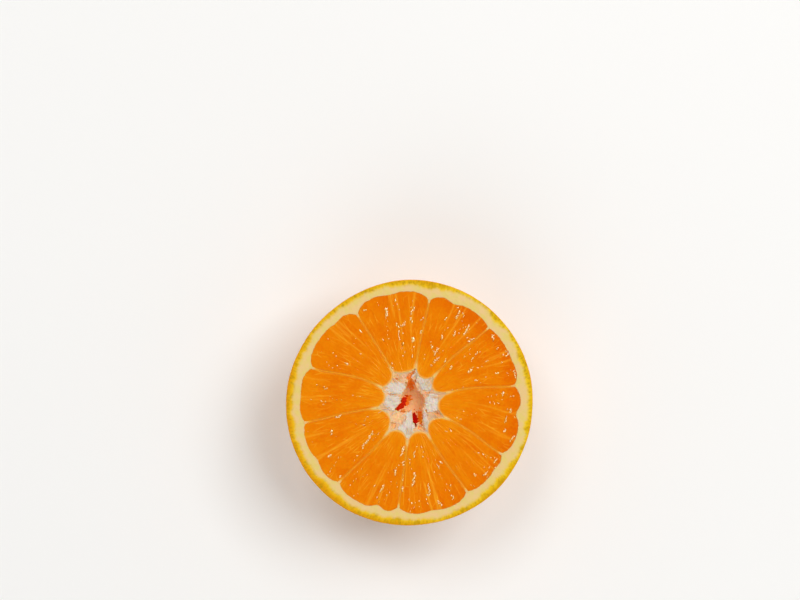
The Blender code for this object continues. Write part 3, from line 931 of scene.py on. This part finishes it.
def soaked_with_juice(points, tuft, in_point, frayed):
    """How much juice has soaked in at each point: most in the hollow, least in the tufts."""
    juice = np.maximum(LOOSE_JUICE, POINT_JUICE * in_point) * (1.0 - tuft)
    under_lip = eased((HALF_HEIGHT - points[:, 2] - HOLLOW_LIP_DROP) / (0.5 * MM) + 0.6 * frayed)
    juice = np.maximum(juice, HOLLOW_JUICE * under_lip)
    torn = 0.4 * frayed + 0.55 * lumps(points * (1.0, 1.0, 0.3), 0.55 * MM)
    for *oval, depth in STAINS:
        inside = 1.0 - eased((from_middle(points, *oval) + torn - 0.8) / 0.3)
        juice = np.maximum(juice, depth * inside * (1.0 - 0.8 * tuft * (1.0 - under_lip)))
    return held(juice + 0.05 * frayed)


def core_piece(finish):
    """Rings of points, up the core's hidden side, in over the star, and down into the hollow."""
    across = np.tile(np.linspace(0.0, 1.0, CORE_COLUMNS), len(SEGMENTS))
    segment = np.repeat(np.arange(len(SEGMENTS)), CORE_COLUMNS)
    distance = inner_end(segment, across)
    angle = np.concatenate([
        pulp_angle(number, across[segment == number], distance[segment == number])
        for number in range(len(SEGMENTS))
    ])
    rim = place(distance, angle, HALF_HEIGHT, PULP_CENTRE)
    from_hollow = rim[:, :2] - HOLLOW_CENTRE
    lip_angle = np.degrees(np.arctan2(from_hollow[:, 1], from_hollow[:, 0]))
    lip = hollow_ring(0.0, 1.0, 1.0, lip_angle)

    side = [rim - (0.0, 0.0, HALF_HEIGHT - PEEL_THICKNESS - 1.5 * MM), rim - (0.0, 0.0, 1.2 * MM)]
    shares = evenly(STAR_RINGS)
    star = []
    for share in shares:
        ring = between(rim, lip, share)
        ring[:, 2] = HALF_HEIGHT - between(CORE_DROP, HOLLOW_LIP_DROP, share**CORE_SAG_POWER)
        star.append(ring)
    wall = []
    for depth in np.linspace(0.0, HOLLOW_WALLS[-1, 0], WALL_RINGS + 1)[1:]:
        width, lobes = (np.interp(depth, HOLLOW_WALLS[:, 0], HOLLOW_WALLS[:, column]) for column in (1, 2))
        wall.append(hollow_ring(depth, width, lobes, lip_angle))
    floor = []
    for share in np.linspace(1.0, 0.0, FLOOR_RINGS + 1, endpoint=False)[1:]:
        depth = between(1.0, HOLLOW_WALLS[-1, 0], share**2)
        floor.append(hollow_ring(depth, HOLLOW_WALLS[-1, 1] * share, HOLLOW_WALLS[-1, 2] * share, lip_angle))

    rings = np.array(side + star + wall + floor)
    middles = np.array([
        [*HOLLOW_CENTRE, HALF_HEIGHT - HOLLOW_DEPTH],
        [*HOLLOW_CENTRE, PEEL_THICKNESS + 1.0 * MM],
    ])
    everything = np.concatenate((rings.reshape(-1, 3), middles))

    def over_star(values, in_hollow=0.0):
        """At every point of the core, a number that each ring of the star has, and one for the hollow."""
        of_ring = np.full(len(rings), in_hollow)
        of_ring[:len(side)] = 0.0
        of_ring[len(side):len(side) + len(star)] = values
        return np.append(np.repeat(of_ring, rings.shape[1]), (in_hollow, 0.0))

    loose = over_star(np.minimum(1.0, shares * 6.0), in_hollow=1.0)
    on_star = over_star(np.minimum(1.0, shares * 6.0))
    outer_part = over_star(1.0 - eased(shares / 0.55))
    corner = np.append(np.tile(np.abs(2.0 * across - 1.0), len(rings)), (0.0, 0.0))
    edge = over_star(1.0 - eased(shares / 0.10))
    fluff = lumps(everything, COTTON_SIZE) + 0.7 * lumps(everything, COTTON_SIZE / 2.3)
    fluff += 0.45 * lumps(everything, COTTON_SIZE / 5.0)
    frayed = lumps(everything, 0.9 * MM) + 0.6 * lumps(everything, 0.4 * MM)
    tuft = tufted(everything, frayed)
    in_point = outer_part * eased((corner - 0.5) / 0.4)
    soaked = soaked_with_juice(everything, tuft, in_point, frayed)
    facts = {
        "juice": np.maximum(soaked, EDGE_JUICE * edge),
        "clean": held(1.0 - 1.2 * in_point - 0.4 * on_star * (1.0 - tuft)),
    }
    sunk = over_star(eased(shares / 0.5) * (1.0 - shares**4))
    everything[:, 2] -= TUFT_RISE * sunk * (1.0 - tuft)
    everything[:, 2] -= SOAKED_DIP * on_star * eased((soaked - 0.4) / 0.2)
    knots = numbered(rings)
    ends = [fan_faces(knots[-1], len(everything) - 2), fan_faces(knots[0], len(everything) - 1)]
    piece = piece_of("core", everything, [[net_faces(closed_rows(knots)), *ends]], [finish], facts)
    raise_points(piece, loose * COTTON * (fluff - 0.4))
    return piece


cottony_core = core_finish()
core = core_piece(cottony_core)
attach(core, "root")
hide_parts("orange_half")

# Pith strands
# Torn fibres of the core, thinner than thread. They lie over its tufts, run out along the star's points,
# where they go on into the membranes, and some reach over the edge of the hollow.

STRANDS = 190
POINT_STRANDS = 80
STRAND_SIDES = 5
STRAND_STEPS = 8
STRAND_RADIUS = 0.075 * MM
# In the star's points and all over the core: how far out a strand starts, how long it is, and its lean in
# degrees
POINT_STRAND = ((6.0 * MM, 8.5 * MM), (1.5 * MM, 3.2 * MM), 8.0)
LOOSE_STRAND = ((3.0 * MM, 7.0 * MM), (0.9 * MM, 2.6 * MM), 35.0)
LIP_CLEAR = 1.6 * MM


def tube(line, radius):
    """Rings of points round a line, each with its own radius."""
    ahead = np.gradient(line, axis=0)
    ahead /= np.linalg.norm(ahead, axis=1, keepdims=True)
    side = np.cross(ahead, (0.0, 0.0, 1.0))
    side /= np.linalg.norm(side, axis=1, keepdims=True)
    up = np.cross(side, ahead)
    turned = np.linspace(0.0, 2.0 * np.pi, STRAND_SIDES, endpoint=False)[None, :, None]
    around = np.cos(turned) * side[:, None] + np.sin(turned) * up[:, None]
    return line[:, None] + radius[:, None, None] * around


def strand_line(number, random):
    """A strand's line from above. The first ones are in the star's points, the rest all over the core."""
    if number < POINT_STRANDS:
        membrane = random.integers(len(MEMBRANES))
        around = MEMBRANES[membrane, 1] + random.normal(0.0, 5.0)
        starts, lengths, leaning = POINT_STRAND
    else:
        around = random.uniform(0.0, 360.0)
        starts, lengths, leaning = LOOSE_STRAND
    start = random.uniform(*starts)
    length = random.uniform(*lengths)
    lean = random.normal(0.0, leaning)
    share = evenly(STRAND_STEPS)
    bend = random.uniform(-30.0, 30.0)
    first = place(start, around, 0.0, PULP_CENTRE)
    steps = place(length / STRAND_STEPS, around + lean + bend * share, 0.0)
    return first + np.cumsum(steps, axis=0)


def strands_piece(finish, random):
    surface = points_of(core)
    surface = surface[surface[:, 2] > HALF_HEIGHT - HOLLOW_DEPTH]
    flat = (1.0, 1.0, 0.0)
    lines = np.array([strand_line(number, random) for number in range(STRANDS)])
    _, under = nearest(lines.reshape(-1, 3) * flat, surface * flat)
    lying_on = surface[under, 2].reshape(STRANDS, -1)
    share = evenly(STRAND_STEPS)
    tapered = np.sqrt(np.sin(np.pi * between(0.06, 0.94, share)))
    points, faces, caps, juice = [], [], [], []
    for number, (line, under) in enumerate(zip(lines, lying_on)):
        if under.min() < HALF_HEIGHT - LIP_CLEAR:
            continue
        radius = STRAND_RADIUS * random.uniform(0.5, 1.2) * tapered
        arch = random.uniform(0.0, 0.35) * MM * np.sin(np.pi * share)
        line[:, 2] = np.minimum(under.max() - 0.02 * MM + arch, HALF_HEIGHT - STRAND_RADIUS)
        rings = tube(line, radius)
        knots = numbered(rings, sum(map(len, points)))
        points.append(rings.reshape(-1, 3))
        faces.append(net_faces(closed_rows(knots)))
        caps += [knots[0], knots[-1]]
        tint = random.uniform(0.2, 0.5) if number < POINT_STRANDS else abs(random.normal(0.0, 0.14))
        juice.append(np.full(knots.size, tint))
    faces.append(np.array(caps))
    juice = np.concatenate(juice)
    facts = {"juice": juice, "clean": np.ones(len(juice))}
    return piece_of("pith_strands", np.concatenate(points), [faces], [finish], facts)


strands = strands_piece(cottony_core, np.random.default_rng(23))
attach(strands, "root")
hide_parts("orange_half")

# Juice
# Drops and runs of juice stand on the wet face, where the knife opened the sacs. Each is a low glossy bead,
# or a string of beads that ran together, and most lie along the sacs. Their colour holds painted light: a
# painted shadow round each drop's edge, painted light over its middle and a painted highlight on its top.

# How many rows of small drops each segment has
ROWS_OF_DROPS = (13, 13, 14, 7, 7, 8, 11, 13, 10, 11)
DROPS_IN_ROW = 2.2
DROPS_REACH = (11.0 * MM, 33.0 * MM)
DROP_HEIGHTS = (0.11, 0.17)
BEAD_SPACING = 0.55
BEAD_WIDTHS = (0.6, 0.95)
BEAD_STRETCH = (1.2, 2.0)
BEAD_TURN = 22.0
DROP_SIDES = 12
DROP_RINGS = 5
DROP_SUNK = 0.3
# A drop's rings: how far out each is, and how high, in shares of the drop
DROP_OUT = np.linspace(1.0, 0.0, DROP_RINGS + 1, endpoint=False)
DROP_LEVEL = (1.0 - DROP_OUT**2) ** 2

# The larger drops and runs, in millimetres and degrees: the angle round the pulp, how far out, how long,
# how wide, and how far its length is turned from the sacs
RUNS = np.array((
    (6, 28.5, 1.2, 0.9, 85), (16, 33.2, 2.4, 0.8, 85), (20, 28.1, 1.2, 0.8, -20), (20, 21.4, 1.1, 0.7, -15),
    (27, 33.2, 1.3, 1.0, 30), (29, 20.8, 1.6, 1.3, 10), (33, 31.6, 1.1, 0.8, 25), (36, 23.2, 1.2, 0.7, 10),
    (38, 25.5, 1.2, 0.8, 20), (39, 32.6, 1.6, 1.0, 55), (42, 16.6, 1.5, 1.2, 10), (47, 27.1, 2.2, 0.8, -17),
    (53, 28.4, 3.2, 1.0, 10), (52, 17.0, 1.0, 0.7, 0), (58, 25.5, 1.9, 0.9, 17), (60, 15.7, 2.4, 0.8, -6),
    (62, 30.9, 2.8, 1.1, 5), (60, 32.0, 1.3, 0.7, 50), (64, 17.8, 2.6, 0.9, -6), (65, 22.7, 1.4, 1.2, 20),
    (68, 28.4, 1.2, 1.1, -20), (71, 18.7, 1.4, 0.9, 10), (82, 22.4, 1.3, 0.9, -12),
    (83, 26.5, 1.1, 0.8, -20), (88, 19.7, 1.7, 1.5, 0), (88, 14.7, 1.2, 0.9, 0), (89, 28.7, 2.8, 1.1, -25),
    (90, 25.9, 1.7, 1.0, 5), (95, 24.8, 1.6, 0.8, -35), (100, 24.6, 1.8, 1.1, 0), (100, 21.6, 3.2, 0.6, -7),
    (105, 29.1, 2.4, 1.2, -10), (116, 32.2, 1.1, 0.9, 60), (125, 27.2, 1.0, 0.9, 0),
    (148, 23.4, 1.3, 0.8, 0), (170, 26.6, 1.2, 1.0, 50), (190, 22.6, 1.7, 0.9, 5),
    (200, 26.2, 1.3, 1.1, 60), (213, 29.8, 1.6, 1.2, 0), (219, 16.4, 4.2, 0.9, 16),
    (221, 19.0, 3.2, 0.8, 14), (226, 31.2, 1.1, 0.9, 30), (251, 27.6, 2.2, 1.1, -12),
    (257, 21.6, 1.6, 1.2, 10), (260, 14.9, 3.2, 1.2, -5), (263, 18.7, 1.3, 1.2, 0),
    (264, 22.9, 2.0, 0.9, 0), (264, 26.4, 1.5, 1.0, 10), (273, 15.6, 1.9, 1.0, 0),
    (272, 23.4, 4.2, 1.1, -11), (282, 27.0, 4.0, 0.9, -7), (286, 31.9, 1.7, 1.2, 30),
    (294, 31.4, 1.4, 0.8, 10), (297, 20.3, 1.2, 0.8, 15), (312, 29.4, 1.1, 1.0, 0),
    (317, 31.4, 1.8, 0.8, 88), (326, 31.4, 1.5, 0.8, 80), (344, 30.1, 1.3, 1.1, 70),
    (341, 33.0, 2.2, 0.9, 79), (350, 29.6, 1.5, 0.9, 60), (356, 30.8, 1.3, 0.9, 80),
)) * (1.0, MM, MM, MM, 1.0)


def juice_finish():
    juice = Finish("juice", 0.08, 0.8, coat=(1.0, 0.03), glow=(0.2, (1.0, 0.3, 0.05), 0.8 * MM))
    # Darker round each drop's edge, a painted shadow; lighter over its middle, painted light; then a painted
    # highlight on its top.
    body = juice.graded(
        juice.fact("middle"),
        (0.3, (0.62, 0.11, 0.001)),
        (0.45, (0.90, 0.29, 0.005)),
        (1.0, (0.95, 0.34, 0.01)),
    )
    juice.coloured(juice.mixed(juice.fact("pale"), body, (1.0, 0.60, 0.18)))
    return juice.material


def larger_drops(random):
    """Strings of beads that run together, as rows of angle, distance out, length, width, turn, painted
    highlight.
    """
    drops = []
    for angle, out, length, width, turn in RUNS:
        beads = max(round(length / (BEAD_SPACING * width)), 1)
        along = ((np.arange(beads) + 0.5) / beads - 0.5) * length + random.normal(0.0, 0.08 * MM, beads)
        aside = random.normal(0.0, 0.14 * MM, beads)
        heading = math.radians(turn)
        outward = out + along * math.cos(heading) - aside * math.sin(heading)
        sideways = along * math.sin(heading) + aside * math.cos(heading)
        for far, side in zip(outward, sideways):
            size = random.uniform(*BEAD_WIDTHS) * width
            longer = size * random.uniform(*BEAD_STRETCH)
            turned = random.normal(turn, BEAD_TURN)
            at = angle + math.degrees(side / far)
            drops.append((at, far, longer, size, turned, random.uniform(0.6, 1.0)))
    return drops


def small_drops(random):
    """The same rows for the small drops, which lie one after another along the sacs."""
    drops = []
    for segment, rows in enumerate(ROWS_OF_DROPS):
        first, second = sides_of(segment)
        for _ in range(rows):
            angle = between(first, second, random.uniform(0.08, 0.92))
            out = between(*DROPS_REACH, random.uniform() ** 0.7)
            for _ in range(1 + random.poisson(DROPS_IN_ROW - 1.0)):
                length = random.lognormal(-0.4, 0.4) * MM
                width = min(random.uniform(0.4, 0.75) * MM, 0.85 * length)
                turn = random.normal(0.0, 20.0)
                drops.append((angle, out, length, width, turn, random.uniform(0.0, 0.6)))
                out += random.uniform(0.5, 1.2) * MM + length / 2.0
                angle += math.degrees(random.normal(0.0, 0.6 * MM) / out)
    return drops


def drop_shape(length, width, height, random):
    """A low dome, longer than wide, a little lopsided, with its flat underside just inside the flesh."""
    turned = np.linspace(0.0, 2.0 * np.pi, DROP_SIDES, endpoint=False)
    oval, pear = random.uniform(0.0, 6.0, 2)
    lopsided = 1.0 + 0.16 * np.cos(2.0 * turned + oval) + 0.1 * np.cos(3.0 * turned + pear)
    rings = place(DROP_OUT[:, None] * lopsided, np.degrees(turned), DROP_LEVEL[:, None] - DROP_SUNK)
    shape = np.append(rings.reshape(-1, 3), [[0.0, 0.0, 1.0 - DROP_SUNK]], axis=0)
    return shape * (length / 2.0, width / 2.0, height)


def juice_piece(finish, random):
    drops = np.array(larger_drops(random) + small_drops(random))
    surface = np.concatenate(wet_faces)
    middles = place(drops[:, 1], drops[:, 0], 0.0, PULP_CENTRE)
    apart, under = nearest(middles, surface * (1.0, 1.0, 0.0))
    middles[:, 2] = surface[under, 2]
    on_pulp = apart < 0.25 * MM
    drops, middles = drops[on_pulp], middles[on_pulp]
    points = []
    for (angle, _, length, width, turn, _), middle in zip(drops, middles):
        ahead, aside = place(1.0, angle + turn + np.array((0.0, 90.0)), 0.0)
        shape = drop_shape(length, width, width * random.uniform(*DROP_HEIGHTS), random)
        points.append(middle + shape @ np.array((ahead, aside, (0.0, 0.0, 1.0))))
    points = np.array(points)

    knots = np.arange((DROP_RINGS + 1) * DROP_SIDES).reshape(-1, DROP_SIDES)
    starts = np.arange(len(points))[:, None, None] * points.shape[1]
    of_one = net_faces(closed_rows(knots)), fan_faces(knots[-1], knots.size), knots[:1]
    faces = [(starts + net).reshape(-1, net.shape[1]) for net in of_one]
    middle = np.append(np.repeat(DROP_LEVEL, DROP_SIDES), 1.0)
    facts = {
        "middle": np.tile(middle, len(points)),
        # pale: a painted highlight, strongest at each drop's top
        "pale": np.outer(drops[:, 5], eased((middle - 0.45) / 0.4)).ravel(),
    }
    return piece_of("juice_drops", points.reshape(-1, 3), [faces], [finish], facts)


juice = juice_piece(juice_finish(), np.random.default_rng(31))
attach(juice, "root")
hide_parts("orange_half")

# Floor, light and camera
# A plain pale floor and plain soft studio light. The camera looks straight down on the cut face, and holds
# the half where the photo has it.

# The half's middle and the width of its cut face, in pixels of the frame
FRAME_PIXELS = (800.0, 600.0)
HALF_PIXELS = (409.7, 403.3)
FACE_PIXELS = 246.5
SENSOR = 36.0
LENS = 85.0
FLOOR_SIZE = 3.0

# The soft light from all sides: how strong it is low down and overhead, and between which heights it changes
WORLD_SIDES = 0.70
WORLD_CEILING = 0.05
WORLD_HEIGHTS = (0.35, 0.9)

# Each soft light: its angle round the half and off the upright, its distance, its width and its power
SOFTBOXES = {
    "key": (35.0, 32.0, 2.0, 1.05, 20.5),
    "second": (118.0, 30.0, 2.0, 0.75, 9.0),
    "low_fill": (255.0, 46.0, 2.2, 1.5, 8.5),
}


def floor_piece():
    bpy.ops.mesh.primitive_plane_add(size=FLOOR_SIZE)
    floor = bpy.context.active_object
    floor.name = "floor"
    pale = Finish("pale_floor", 0.7)
    clouds = pale.scaled(pale.grain(0.4), 0.3, 0.7)
    pale.coloured(pale.mixed(clouds, (0.92, 0.915, 0.90), (0.935, 0.93, 0.915)))
    floor.data.materials.append(pale.material)
    return floor


def softbox(name, around, off_upright, distance, size, power):
    """A square soft light that faces the half."""
    light = bpy.data.lights.new(name, "AREA")
    light.size = size
    light.energy = power
    lamp = added(name, light)
    leaning = math.radians(off_upright)
    lamp.location = place(distance * math.sin(leaning), around, distance * math.cos(leaning))
    lamp.rotation_euler = (0.0, leaning, math.radians(around))


def studio_world():
    """Soft light from all sides. The room is darker overhead, so that the wet cut face doesn't mirror it."""
    world = bpy.data.worlds.new("studio")
    world.use_nodes = True
    tree = world.node_tree
    where = tree.nodes.new("ShaderNodeTexCoord")
    parts = tree.nodes.new("ShaderNodeSeparateXYZ")
    tree.links.new(where.outputs["Generated"], parts.inputs["Vector"])
    strength = ranged(tree, parts.outputs["Z"], *WORLD_HEIGHTS, WORLD_SIDES, WORLD_CEILING)
    sky = tree.nodes["Background"]
    tree.links.new(strength, sky.inputs["Strength"])
    sky.inputs["Color"].default_value = (1.0, 0.99, 0.97, 1.0)
    return world


floor_piece()
for name, setting in SOFTBOXES.items():
    softbox(name, *setting)
bpy.context.scene.world = studio_world()
bpy.context.scene.view_settings.view_transform = "Standard"

metres_per_pixel = 2.0 * FACE_RADIUS / FACE_PIXELS
eye = added("camera", bpy.data.cameras.new("camera"))
eye.data.lens = LENS
eye.data.sensor_width = SENSOR
eye.location = (
    (FRAME_PIXELS[0] / 2.0 - HALF_PIXELS[0]) * metres_per_pixel,
    (HALF_PIXELS[1] - FRAME_PIXELS[1] / 2.0) * metres_per_pixel,
    HALF_HEIGHT + metres_per_pixel * FRAME_PIXELS[0] * LENS / SENSOR,
)
bpy.context.scene.camera = eye
